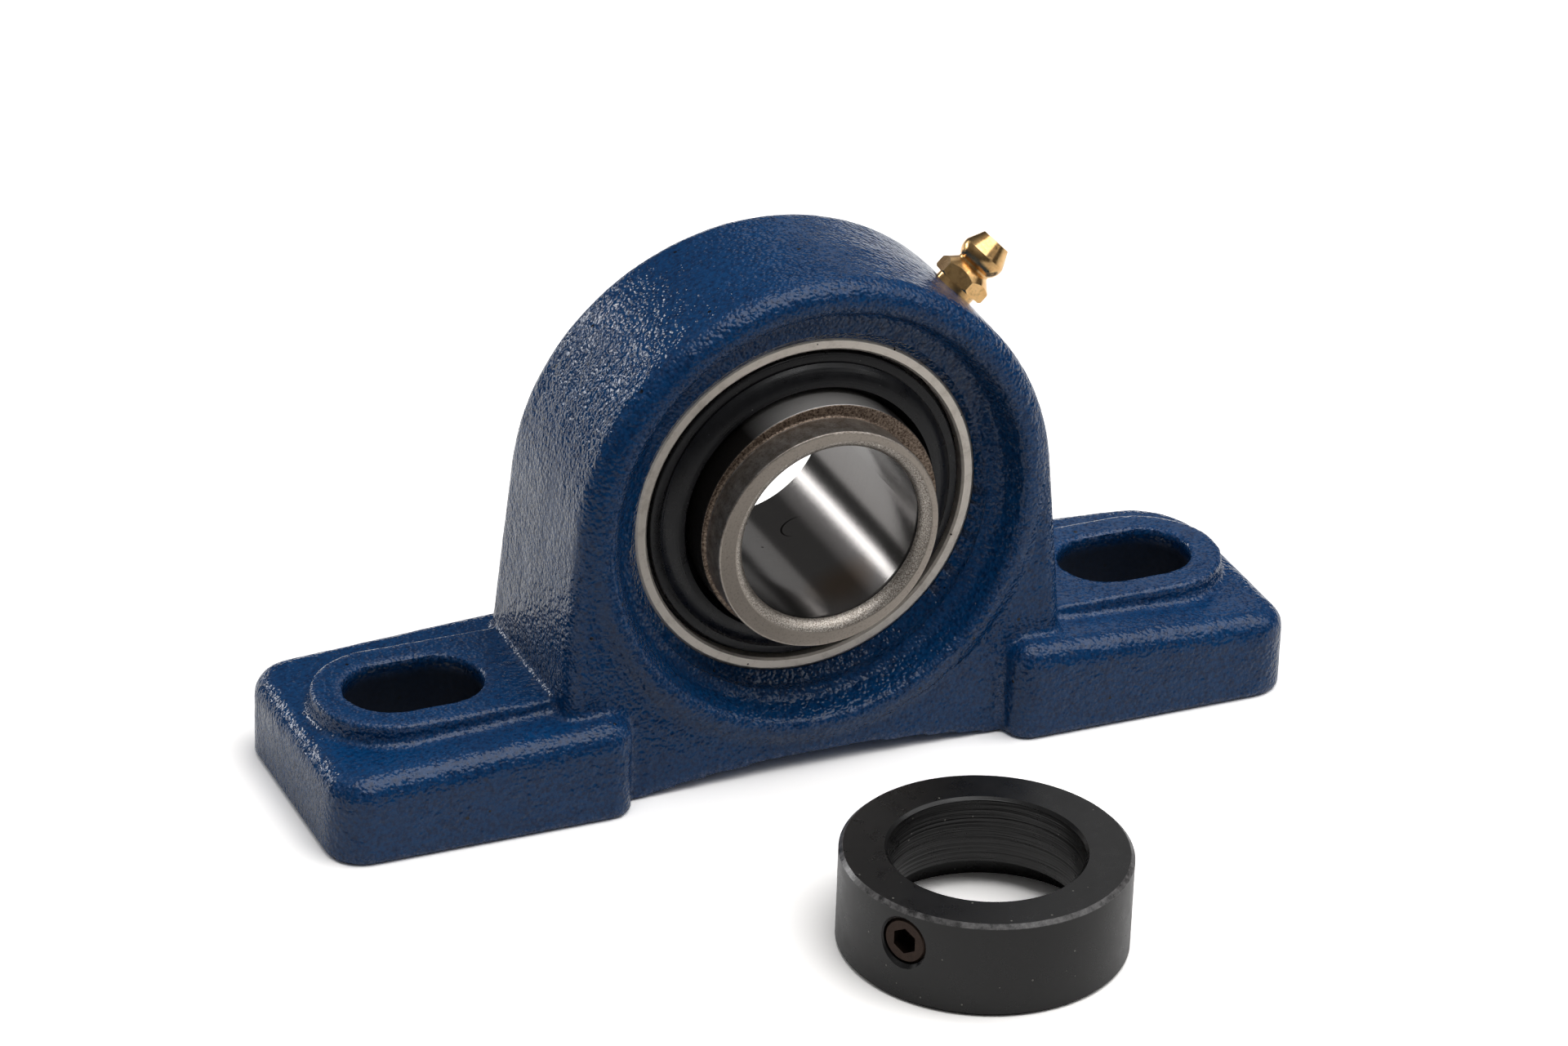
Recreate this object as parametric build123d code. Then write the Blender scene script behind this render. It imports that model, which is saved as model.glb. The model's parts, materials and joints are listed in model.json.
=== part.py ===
"""Pillow block bearing with an eccentric-collar insert, in millimetres.

+X runs along the base, +Y along the shaft away from the collar side, +Z up. The origin is the centre
of the base on the mounting plane. The collar is off the shaft and lies on the floor in front.
"""

import os
from math import cos, hypot, pi, radians, sin, sqrt, tan

from build123d import *

# ---------------------------------------------------------------- driving dimensions
# Housing
shaft_height = 36.5
base_width = 38.0
bolt_spacing = 105.0
slot_width = 13.0
slot_length = 19.2
foot_end_margin = 17.5  # from a bolt's centre to the end of its foot
arch_radius = 34.65
arch_drop = 0.3  # of the arch's centre below the shaft
arch_width = 27.2  # at the height of the shaft
arch_lean = 2.5  # degrees, of its front and back faces towards each other
arch_draft = 1.0  # degrees, each way from the parting plane
side_flare = 5.0  # degrees from the vertical, below the arch
arch_edge_round = 2.4
hub_lean = 3.0  # degrees, of its front and back faces towards each other
lip_width = 28.4
lip_crest_round = 0.8
lip_flank_drop = 1.45
lip_flank_width = 25.8
lip_dome = 0.5
cove_offset = 0.1  # inwards, from midway between the seat and the crest
cove_width = 21.2
cove_round = 1.4
seat_width = 18.0
seat_edge_chamfer = 0.3
loading_clearance = 0.5
foot_inner_x = 27.5
foot_root_height = 14.2
foot_fall = 2.2
foot_front_round = 5.5
left_back_round = 6.0
right_back_round = 10.5
foot_inner_round = 3.5
foot_edge_round = 3.2
foot_sole_round = 0.8
boss_step = 1.1
boss_wall = 4.4
boss_edge_round = 0.5
boss_root_round = 0.6
relief_height = 2.3

# Bearing insert
sphere_diameter = 52.0
seat_clearance = 0.03
outer_width = 17.0
outer_edge_chamfer = 0.3
outer_edge_drop = 0.42
outer_rim_wall = 1.7
outer_seal_step = 0.85
pitch_offset = 0.15  # of the ball circle, outwards from midway between bore and sphere
ball_diameter = 7.938
ball_count = 9
ball_clearance = 0.02  # radial, against each race
race_conformity = 0.52
inner_shoulder_drop = 2.45
bore_diameter = 25.4
nose_reach = 17.95
tail_reach = 16.95
cam_length = 4.95
cam_step = 1.2  # from the shoulder's radius to the cam's
cam_undercut = 0.25
cam_eccentricity = 0.75
cam_angle = 200.0  # degrees from +X towards +Z, seen from the collar side
bore_nose_round_length = 2.0
bore_nose_round_depth = 1.5
bore_tail_chamfer_length = 1.6
bore_tail_chamfer_depth = 1.2
inner_edge_chamfer = 0.15
cam_root_round = 0.45
nose_edge_round = 0.3

# Cage
cage_sheet = 0.7
cage_band_width = 2.4
pocket_clearance = 0.12
rivet_diameter = 1.2
rivet_head_diameter = 2.0
rivet_head_height = 0.5
rivet_head_round = 0.3

# Seals
seal_seat_depth = 2.2
shield_sheet = 0.6
shield_recess = 0.4
shield_rim_round = 0.35
shield_inner_gap = 2.3
lip_band_width = 3.95
lip_bulge_offset = 1.0
lip_bulge_reach = 1.6
lip_band_reach = 0.3
lip_sheet = 0.8
lip_running_gap = 0.06

# Lubrication
grease_angle = 45.0  # degrees of the fitting from the vertical, towards +X
housing_groove_width = 5.0
housing_groove_depth = 0.8
housing_groove_offset = 2.0
ring_groove_width = 2.6
ring_groove_depth = 0.6
ring_groove_offset = 4.6
ring_grease_hole = 1.4
grease_duct = 2.5
fitting_thread = 6.0
fitting_thread_length = 5.2
fitting_stand_off = 0.66
fitting_hex = 7.0
fitting_hex_angle = 14.0  # degrees that the hexagon is turned about the fitting's axis
fitting_hex_height = 3.1
fitting_hex_chamfer = 1.5
fitting_corner_cut = 0.3
fitting_neck = 5.0
fitting_neck_height = 0.3
fitting_head = 6.4
fitting_head_height = 4.4
fitting_shoulder = 6.1
fitting_shoulder_height = 0.8
fitting_belly_height = 2.1
fitting_tip = 4.2
fitting_duct = 2.5
fitting_mouth = 1.3
fitting_mouth_depth = 0.7
fitting_floor = 0.6
check_ball_gap = 0.2
check_ball_clearance = 0.02
spring_wire = 0.3
spring_coils = 5
spring_clearance = 0.08

# Locking collar, off the shaft and face down on the floor
collar_wall = 6.3
collar_width = 13.5
collar_bore_clearance = 0.05
collar_recess_depth = 4.0
collar_recess_clearance = 0.2
collar_recess_angle = 0.0  # degrees of the recess's offset from +X towards +Y
collar_edge_chamfer = 0.5
collar_bore_chamfer = 0.4
collar_x = 2.45
collar_y = -62.85
set_screw_diameter = 6.35
set_screw_tip_gap = 0.4
set_screw_clearance = 0.04
set_screw_recess = 0.5
set_screw_socket = 3.175
set_screw_socket_depth = 2.6
set_screw_cup = 1.0
set_screw_angle = 211.7  # degrees from +X towards +Y
set_screw_drop = 4.9  # from the collar's plain face
set_screw_end_chamfer = 0.35

# ---------------------------------------------------------------- sizes that follow from them
def on_sphere(radius, reach):
    """Radius at which a sphere about the bearing centre is cut by a plane at this reach along the shaft."""
    return sqrt(radius**2 - reach**2)


base_length = bolt_spacing + 2 * foot_end_margin
foot_end_height = foot_root_height - foot_fall
boss_height = foot_root_height + boss_step
boss_radius = slot_width / 2 + boss_wall

sphere_radius = sphere_diameter / 2
seat_radius = sphere_radius + seat_clearance
lip_flank_radius = arch_radius - lip_flank_drop
lip_crest_radius = (seat_radius + lip_flank_radius) / 2
cove_radius = (seat_radius + lip_crest_radius) / 2 - cove_offset

bore_radius = bore_diameter / 2
ball_radius = ball_diameter / 2
pitch_radius = (bore_radius + sphere_radius) / 2 + pitch_offset
race_radius = race_conformity * ball_diameter
seal_seat_radius = on_sphere(sphere_radius, outer_width / 2) - outer_rim_wall
outer_shoulder_radius = seal_seat_radius - outer_seal_step
inner_shoulder_radius = pitch_radius - inner_shoulder_drop
cam_nose_radius = inner_shoulder_radius - cam_step
cam_root_radius = cam_nose_radius - cam_undercut
shield_inner_radius = inner_shoulder_radius + shield_inner_gap
lip_band_radius = inner_shoulder_radius + lip_band_width
lip_bulge_radius = inner_shoulder_radius + lip_bulge_offset

collar_bore_radius = bore_radius + collar_bore_clearance
collar_radius = collar_bore_radius + collar_wall
set_screw_height = collar_width - set_screw_drop
set_screw_length = collar_wall - set_screw_recess - set_screw_tip_gap

OVERRUN = 1.0  # how far a cutting tool runs past a face
ON_FLOOR = (Align.CENTER, Align.CENTER, Align.MIN)


def outline(*edges):
    """Closed face from edges given in order."""
    return make_face(Curve() + list(edges))


def path(*points):
    """Straight edges through the points, in order."""
    return [Line(a, b) for a, b in zip(points, points[1:])]


def arc_about(centre, start, end):
    """Arc of less than half a turn from start to end about a centre."""
    half_way = ((start[0] + end[0]) / 2 - centre[0], (start[1] + end[1]) / 2 - centre[1])
    stretch = hypot(start[0] - centre[0], start[1] - centre[1]) / hypot(*half_way)
    mid = (centre[0] + half_way[0] * stretch, centre[1] + half_way[1] * stretch)
    return ThreePointArc(start, mid, end)


def rounded(face, corner, radius):
    """Face with its corner at a point rounded."""
    return fillet(face.vertices().sort_by_distance(corner)[0], radius)


def turned(face):
    """Solid turned about the shaft. The face is drawn with x as radius and y as reach along the shaft."""
    return Pos(0, 0, shaft_height) * revolve(face, Axis.Y)


def to_front(shape):
    """Mirror image on the collar side of the parting plane."""
    return mirror(shape, Plane.XZ)


def around_shaft(angle, radius=0.0):
    """Place at an angle from the vertical towards +X, at a radius from the shaft, +Z pointing outwards."""
    return Pos(0, 0, shaft_height) * Rot(0, angle, 0) * Pos(0, 0, radius)


# ---------------------------------------------------------------- housing
def arch_body():
    """Arch over the seat with sides that flare down into the feet, drafted both ways and round-edged."""
    side_x = arch_radius * cos(radians(side_flare))
    centre_z = shaft_height - arch_drop
    side_z = centre_z + arch_radius * sin(radians(side_flare))
    floor_x = side_x + side_z * tan(radians(side_flare))
    front_view = Plane.XZ * outline(
        ThreePointArc((-side_x, side_z), (0, centre_z + arch_radius), (side_x, side_z)),
        *path((side_x, side_z), (floor_x, 0), (-floor_x, 0), (-side_x, side_z)),
    )
    base_reach = arch_width / 2 + shaft_height * tan(radians(arch_lean))
    top = centre_z + arch_radius + OVERRUN
    top_reach = arch_width / 2 - (top - shaft_height) * tan(radians(arch_lean))
    side_view = Plane.YZ * outline(*path((0, 0), (-base_reach, 0), (-top_reach, top), (0, top), (0, 0)))
    half = extrude(front_view, base_reach + OVERRUN, taper=arch_draft)
    half &= extrude(side_view, floor_x + OVERRUN, both=True)
    rim = half.faces().sort_by(Axis.Y)[0].edges()
    half = fillet([edge for edge in rim if edge.center().Z > OVERRUN], arch_edge_round)
    return half + to_front(half)


def seat_hub():
    """Ring round the seat: spherical inside, coved in front and domed outside, alike on both sides."""
    mouth = seat_width / 2
    mouth_r = on_sphere(seat_radius, mouth)
    inner = (mouth_r - seat_edge_chamfer, mouth - seat_edge_chamfer)
    seat_rim = (mouth_r + seat_edge_chamfer, mouth + seat_edge_chamfer)
    cove = (cove_radius, cove_width / 2)
    crest = (lip_crest_radius, lip_width / 2)
    flank = (lip_flank_radius, lip_flank_width / 2)
    flank_mid = ((crest[0] + flank[0]) / 2 + lip_dome, (crest[1] + flank[1]) / 2 + lip_dome)
    half = outline(
        *path((inner[0], -inner[1]), (flank[0], -inner[1]), flank),
        ThreePointArc(flank, flank_mid, crest),
        *path(crest, cove, seat_rim, inner, (inner[0], -inner[1])),
    )
    half = rounded(half, crest, lip_crest_round)
    half = rounded(half, cove, cove_round)
    centre = Pos(0, 0, shaft_height)
    back = centre * Rot(hub_lean, 0, 0) * centre.inverse() * turned(half)
    return back + to_front(back) - centre * Rot(90, 0, 0) * Sphere(seat_radius)


def end_corners(slab):
    """Upright edges of a slab, without those of its inner end, from front to back."""
    corners = slab.edges().filter_by(Axis.Z).filter_by(lambda edge: edge.center().X > bolt_spacing / 2)
    return corners.sort_by(Axis.Y)


def foot(side):
    """One bolt foot: a round-cornered slab that falls away to its end, with a raised boss for the slot."""
    end_x = base_length / 2
    front_view = outline(*path(
        (foot_inner_x, 0), (end_x, 0), (end_x, foot_end_height), (foot_inner_x, foot_root_height),
        (foot_inner_x, 0)))
    slab = extrude(Plane.XZ * front_view, base_width / 2, both=True)
    slab = fillet(slab.edges().filter_by(Axis.Z).group_by(Axis.X)[0], foot_inner_round)
    slab = fillet(end_corners(slab)[0], foot_front_round)
    slab = fillet(end_corners(slab)[-1], right_back_round if side > 0 else left_back_round)
    slab = fillet(slab.faces().sort_by(Axis.Z)[-1].edges(), foot_edge_round)
    sole = slab.faces().sort_by(Axis.Z)[0].edges()
    slab = fillet(sole.filter_by(lambda edge: edge.center().X > foot_inner_x + OVERRUN), foot_sole_round)

    boss_end = bolt_spacing / 2 + (slot_length - slot_width) / 2
    boss_start = foot_inner_x + foot_inner_round
    boss_plan = Pos(boss_end, 0) * Circle(boss_radius)
    boss_plan += Pos((boss_start + boss_end) / 2, 0) * Rectangle(boss_end - boss_start, 2 * boss_radius)
    boss = extrude(boss_plan, boss_height)
    boss = fillet(boss.faces().sort_by(Axis.Z)[-1].edges().sort_by(Axis.X)[1:], boss_edge_round)
    whole = slab + boss
    root = [edge for edge in new_edges(slab, boss, combined=whole) if edge.center().X > boss_start + OVERRUN]
    whole = fillet(root, boss_root_round)
    return whole if side > 0 else mirror(whole, Plane.YZ)


def bolt_slot(side):
    """Cutter for one bolt slot, with a rounded upper mouth."""
    slot = extrude(SlotOverall(slot_length, slot_width), boss_height + 2 * OVERRUN)
    return Pos(side * bolt_spacing / 2, 0, -OVERRUN) * slot


def loading_slots():
    """Cutter for the pair of slots in the back wall through which the insert is turned into its seat."""
    slot_height = outer_width + 2 * loading_clearance
    disc = Cylinder(seat_radius + seat_clearance, lip_width, align=ON_FLOOR)
    opening = Box(2 * disc.radius, slot_height, lip_width, align=ON_FLOOR)
    return Pos(0, 0, shaft_height) * Rot(-90, 0, 0) * (opening & disc)


def make_housing():
    well = Cylinder(lip_crest_radius, 2 * lip_width)
    arch = arch_body() - Pos(0, 0, shaft_height) * Rot(90, 0, 0) * well
    feet = [foot(side) for side in (-1, 1)]
    body = arch + feet + seat_hub()
    for side in (-1, 1):
        body -= bolt_slot(side)
    relief_radius = (foot_inner_x**2 + relief_height**2) / (2 * relief_height)
    relief = Cylinder(relief_radius, 2 * base_width)
    body -= Pos(0, 0, relief_height - relief_radius) * Rot(90, 0, 0) * relief
    body -= loading_slots()
    groove = Cylinder(seat_radius + housing_groove_depth, housing_groove_width)
    body -= Pos(0, housing_groove_offset, shaft_height) * Rot(90, 0, 0) * groove
    duct = Cylinder(grease_duct / 2, arch_radius + OVERRUN, align=ON_FLOOR)
    body -= around_shaft(grease_angle) * duct
    tapped = Cylinder(fitting_thread / 2, fitting_thread_length + OVERRUN, align=ON_FLOOR)
    body -= around_shaft(grease_angle, shank_end) * tapped
    return body


# ---------------------------------------------------------------- bearing insert
def race_edges(bottom_radius, shoulder_radius):
    """Ball groove of a race across the middle of its ring, from one shoulder to the other."""
    outward = 1 if bottom_radius > shoulder_radius else -1
    centre_r = bottom_radius - outward * race_radius
    half_width = sqrt(race_radius**2 - (shoulder_radius - centre_r) ** 2)
    return ThreePointArc((shoulder_radius, -half_width), (bottom_radius, 0), (shoulder_radius, half_width))


def make_outer_ring():
    """Spherical outside, ball groove inside, a seat for a seal at each end and the lubrication groove."""
    face = outer_width / 2
    rim = (on_sphere(sphere_radius, face - outer_edge_chamfer), face - outer_edge_chamfer)
    face_r = rim[0] - outer_edge_drop
    step = face - seal_seat_depth
    race = race_edges(pitch_radius + ball_radius + ball_clearance, outer_shoulder_radius)
    edge_r = seal_seat_radius + outer_edge_chamfer
    ring = turned(outline(
        *path(race @ 1, (outer_shoulder_radius, step), (seal_seat_radius, step),
              (seal_seat_radius, face - outer_edge_chamfer), (edge_r, face), (face_r, face), rim),
        ThreePointArc(rim, (sphere_radius, 0), (rim[0], -rim[1])),
        *path((rim[0], -rim[1]), (face_r, -face), (edge_r, -face),
              (seal_seat_radius, outer_edge_chamfer - face), (seal_seat_radius, -step),
              (outer_shoulder_radius, -step), race @ 0),
        race,
    ))
    groove_floor = on_sphere(sphere_radius, ring_groove_offset) - ring_groove_depth
    low, high = (ring_groove_offset + side * ring_groove_width / 2 for side in (-1, 1))
    groove = turned(outline(*path((groove_floor, low), (sphere_radius, low), (sphere_radius, high),
                                  (groove_floor, high), (groove_floor, low))))
    ring -= groove
    grease_hole = Cylinder(ring_grease_hole / 2, sphere_radius, align=ON_FLOOR)
    for angle in (grease_angle, grease_angle + 180):
        ring -= Pos(0, ring_groove_offset, 0) * around_shaft(angle) * grease_hole
    return ring


def cam_centre():
    """Offset of the cam and of the collar's recess from the shaft, in X and Z."""
    return cam_eccentricity * cos(radians(cam_angle)), cam_eccentricity * sin(radians(cam_angle))


def make_inner_ring():
    """Wide ring with the ball groove, a shoulder and an eccentric cam on its nose, undercut to grip."""
    front = cam_length - nose_reach
    race = race_edges(pitch_radius - ball_radius - ball_clearance, inner_shoulder_radius)
    chamfered = inner_shoulder_radius - inner_edge_chamfer
    ring = turned(outline(
        *path((0, front), (chamfered, front), (inner_shoulder_radius, front + inner_edge_chamfer), race @ 0),
        race,
        *path(race @ 1, (inner_shoulder_radius, tail_reach - inner_edge_chamfer), (chamfered, tail_reach),
              (0, tail_reach), (0, front)),
    ))
    offset_x, offset_z = cam_centre()
    cam = Cone(cam_root_radius, cam_nose_radius, cam_length, align=ON_FLOOR)
    cam = fillet(cam.edges().sort_by(Axis.Z)[-1], nose_edge_round)
    cam = Pos(offset_x, front, shaft_height + offset_z) * Rot(90, 0, 0) * cam
    cam_root = (offset_x, front, shaft_height + offset_z + cam_root_radius)
    ring = fillet((ring + cam).edges().sort_by_distance(cam_root)[0], cam_root_round)
    nose_r = bore_radius + bore_nose_round_depth
    tail_r = bore_radius + bore_tail_chamfer_depth
    bore_start = (bore_radius, bore_nose_round_length - nose_reach)
    round_r = (bore_nose_round_length**2 + bore_nose_round_depth**2) / (2 * bore_nose_round_depth)
    ring -= turned(outline(
        *path((0, -nose_reach - OVERRUN), (nose_r, -nose_reach - OVERRUN), (nose_r, -nose_reach)),
        arc_about((bore_radius + round_r, bore_start[1]), (nose_r, -nose_reach), bore_start),
        *path(bore_start, (bore_radius, tail_reach - bore_tail_chamfer_length), (tail_r, tail_reach),
              (tail_r, tail_reach + OVERRUN), (0, tail_reach + OVERRUN), (0, -nose_reach - OVERRUN)),
    ))
    return ring


def ball_angle(index):
    """Angle of a ball from the vertical."""
    return 360 * index / ball_count


def make_ball(index):
    return around_shaft(ball_angle(index), pitch_radius) * Sphere(ball_radius)


def cage_band(width, reach_from, reach_to):
    """Ring about the shaft at the pitch circle between two reaches."""
    inner, outer = pitch_radius - width / 2, pitch_radius + width / 2
    return turned(outline(*path((inner, reach_from), (outer, reach_from), (outer, reach_to),
                                (inner, reach_to), (inner, reach_from))))


def make_cage_half():
    """Back half of the ball cage: a pressed ribbon that bulges over each ball, drilled for the rivets."""
    pocket_r = ball_radius + pocket_clearance
    shell_r = pocket_r + cage_sheet
    ribbon = cage_band(cage_band_width, 0, cage_sheet)
    limits = cage_band(cage_band_width, 0, 2 * shell_r)
    for index in range(ball_count):
        ribbon += around_shaft(ball_angle(index), pitch_radius) * Sphere(shell_r) & limits
    for index in range(ball_count):
        ribbon -= around_shaft(ball_angle(index), pitch_radius) * Sphere(pocket_r)
        ribbon -= rivet_place(index) * Cylinder(rivet_diameter / 2, 2 * shell_r)
    return ribbon


def rivet_place(index):
    """Place of a rivet midway between two balls, with +Z along the shaft."""
    return around_shaft(ball_angle(index + 1 / 2), pitch_radius) * Rot(90, 0, 0)


def make_rivets():
    """Round-headed rivets, one between each two balls, as separate solids."""
    head = Cylinder(rivet_head_diameter / 2, rivet_head_height, align=ON_FLOOR)
    head = Pos(0, 0, cage_sheet) * fillet(head.edges().sort_by(Axis.Z)[-1], rivet_head_round)
    rivet = Cylinder(rivet_diameter / 2, 2 * cage_sheet) + head + mirror(head, Plane.XY)
    return Compound(children=[rivet_place(index) * rivet for index in range(ball_count)])


# ---------------------------------------------------------------- seals
def make_seal_shield():
    """Back seal shield: a pressed ring with a rolled rim, seated against the step in the outer ring."""
    face = outer_width / 2 - shield_recess
    step = outer_width / 2 - seal_seat_depth
    under = face - shield_sheet
    rim_inner = seal_seat_radius - shield_sheet
    corner = (seal_seat_radius - shield_rim_round, face - shield_rim_round)
    return turned(outline(
        *path((seal_seat_radius, step), (seal_seat_radius, corner[1])),
        arc_about(corner, (seal_seat_radius, corner[1]), (corner[0], face)),
        *path((corner[0], face), (shield_inner_radius, face), (shield_inner_radius, under),
              (rim_inner, under), (rim_inner, step), (seal_seat_radius, step)),
    ))


def make_seal_lip():
    """Back seal lip: rubber moulded round the shield's inner edge, bulging outwards and down to the ring."""
    face = outer_width / 2 - shield_recess
    under = face - shield_sheet
    crest = (lip_bulge_radius, face + lip_bulge_reach)
    band = (lip_band_radius, face + lip_band_reach)
    shoulder = ((band[0] + crest[0]) / 2, crest[1] - lip_band_reach)
    tip_r = inner_shoulder_radius + lip_running_gap
    inner_face = under - lip_sheet
    return turned(outline(
        Line((lip_band_radius, face), band),
        ThreePointArc(band, shoulder, crest),
        *path(crest, (tip_r, face), (tip_r, under), (lip_bulge_radius, inner_face),
              (shield_inner_radius + lip_sheet, inner_face), (shield_inner_radius + lip_sheet, under),
              (shield_inner_radius, under), (shield_inner_radius, face), (lip_band_radius, face)),
    ))


# ---------------------------------------------------------------- grease fitting
fitting_base = arch_radius - arch_drop * cos(radians(grease_angle)) + fitting_stand_off
hex_top = fitting_base + fitting_hex_height
neck_top = hex_top + fitting_neck_height
tip_reach = neck_top + fitting_head_height
shank_end = fitting_base - fitting_thread_length
duct_floor = shank_end + fitting_floor
mouth_floor = tip_reach - fitting_mouth_depth
check_ball = fitting_duct - 2 * check_ball_gap
# The check ball shuts against a 45 degree cone under the mouth.
cone_foot = mouth_floor - (fitting_duct - fitting_mouth) / 2
check_ball_reach = mouth_floor + fitting_mouth / 2 - sqrt(2) * (check_ball / 2 + check_ball_clearance)
spring_radius = fitting_duct / 2 - spring_clearance - spring_wire / 2
spring_drop = on_sphere((check_ball + spring_wire) / 2, spring_radius)
spring_top = check_ball_reach - check_ball_clearance - spring_drop


def on_fitting(solid):
    """Place a solid drawn about Z, with Z counted from the shaft's axis, on the fitting's axis."""
    return around_shaft(grease_angle) * solid


def about_z(face):
    """Solid turned about Z. The face is drawn with x as radius and y as height."""
    return revolve(Plane.XZ * face, Axis.Z)


def make_grease_fitting():
    """Threaded shank, hexagon turned off to a cone, neck and ball-shaped head with a flat tip."""
    neck = (fitting_neck / 2, neck_top)
    shoulder = (fitting_shoulder / 2, neck_top + fitting_shoulder_height)
    belly = (fitting_head / 2, neck_top + fitting_belly_height)
    turned_part = about_z(outline(
        *path((0, shank_end), (fitting_thread / 2, shank_end), (fitting_thread / 2, fitting_base),
              (fitting_neck / 2, fitting_base), neck),
        ThreePointArc(neck, shoulder, belly),
        *path(belly, (fitting_tip / 2, tip_reach), (0, tip_reach), (0, shank_end)),
    ))
    corner_r = fitting_hex / 2 / cos(pi / 6)
    hexagon = Rot(0, 0, fitting_hex_angle) * extrude(RegularPolygon(corner_r, 6), fitting_hex_height)
    hexagon = Pos(0, 0, fitting_base) * hexagon
    hexagon &= about_z(outline(*path(
        (0, fitting_base), (corner_r - fitting_corner_cut, fitting_base),
        (corner_r, fitting_base + fitting_corner_cut), (corner_r, hex_top - fitting_hex_chamfer),
        (fitting_neck / 2, hex_top), (0, hex_top), (0, fitting_base))))
    body = turned_part + hexagon
    body -= about_z(outline(*path(
        (0, shank_end), (fitting_mouth / 2, shank_end), (fitting_mouth / 2, duct_floor),
        (fitting_duct / 2, duct_floor), (fitting_duct / 2, cone_foot), (fitting_mouth / 2, mouth_floor),
        (fitting_mouth / 2, tip_reach), (0, tip_reach), (0, shank_end))))
    return on_fitting(body)


def make_check_ball():
    return on_fitting(Pos(0, 0, check_ball_reach) * Sphere(check_ball / 2))


def make_check_spring():
    """Open coil spring from the duct's floor up to the check ball."""
    start = duct_floor + spring_wire / 2
    length = spring_top - start
    coil = Pos(0, 0, start) * Helix(length / spring_coils, length, spring_radius)
    wire = Plane(coil @ 0, z_dir=coil % 0) * Circle(spring_wire / 2)
    return on_fitting(sweep(wire, path=coil, is_frenet=True))


# ---------------------------------------------------------------- locking collar
def in_collar(height=0.0):
    """Place on the collar's axis at a height above the floor."""
    return Pos(collar_x, collar_y, height)


def at_set_screw():
    """Place at the collar's axis with +Z pointing outwards along the set screw."""
    return in_collar(set_screw_height) * Rot(0, 0, set_screw_angle) * Rot(0, 90, 0)


def make_locking_collar():
    """Ring with a plain bore, an eccentric recess for the cam in its lower face and a hole for the screw."""
    outer, bore = collar_radius, collar_bore_radius
    ring = about_z(outline(*path(
        (bore, 0), (outer - collar_edge_chamfer, 0), (outer, collar_edge_chamfer),
        (outer, collar_width - collar_edge_chamfer), (outer - collar_edge_chamfer, collar_width),
        (bore + collar_bore_chamfer, collar_width), (bore, collar_width - collar_bore_chamfer), (bore, 0))))
    recess_r = cam_nose_radius + collar_recess_clearance
    recess = Cylinder(recess_r, collar_recess_depth + OVERRUN, align=ON_FLOOR)
    ring -= Rot(0, 0, collar_recess_angle) * Pos(cam_eccentricity, 0, -OVERRUN) * recess
    ring = in_collar() * ring
    hole_r = set_screw_diameter / 2 + set_screw_clearance
    ring -= at_set_screw() * Cylinder(hole_r, outer + OVERRUN, align=ON_FLOOR)
    sink_depth = set_screw_recess + OVERRUN
    sink = Cone(hole_r, hole_r + sink_depth, sink_depth, align=ON_FLOOR)
    ring -= at_set_screw() * Pos(0, 0, outer - set_screw_recess) * sink
    return ring


def make_set_screw():
    """Socket set screw with a cup point, just below the collar's outside."""
    top = collar_radius - set_screw_recess
    tip = top - set_screw_length
    cup_floor = tip + set_screw_cup / 2
    screw_r = set_screw_diameter / 2
    screw = about_z(outline(*path(
        (0, cup_floor), (screw_r - set_screw_cup, tip), (screw_r, tip + set_screw_cup),
        (screw_r, top - set_screw_end_chamfer), (screw_r - set_screw_end_chamfer, top), (0, top),
        (0, cup_floor))))
    socket = extrude(RegularPolygon(set_screw_socket / 2 / cos(pi / 6), 6), set_screw_socket_depth + OVERRUN)
    return at_set_screw() * (screw - Pos(0, 0, top - set_screw_socket_depth) * socket)


if __name__ == "__main__":
    parts = {
        "housing": make_housing(),
        "outer_ring": make_outer_ring(),
        "inner_ring": make_inner_ring(),
        "back_cage_half": make_cage_half(),
        "front_cage_half": to_front(make_cage_half()),
        "cage_rivets": make_rivets(),
        "back_seal_shield": make_seal_shield(),
        "front_seal_shield": to_front(make_seal_shield()),
        "back_seal_lip": make_seal_lip(),
        "front_seal_lip": to_front(make_seal_lip()),
        "grease_fitting": make_grease_fitting(),
        "grease_check_ball": make_check_ball(),
        "grease_check_spring": make_check_spring(),
        "locking_collar": make_locking_collar(),
        "collar_set_screw": make_set_screw(),
    }
    for index in range(ball_count):
        parts[f"ball_{index + 1}"] = make_ball(index)
    os.makedirs("parts", exist_ok=True)
    for name, shape in parts.items():
        export_step(shape, f"parts/{name}.step")
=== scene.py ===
"""Looks of the pillow block bearing: cast and turned surfaces, floor, studio light and camera, in metres."""

import bmesh
import bpy
import json
import numpy as np
from math import cos, pi, radians, sin
from mathutils import Matrix, Vector, noise


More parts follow.
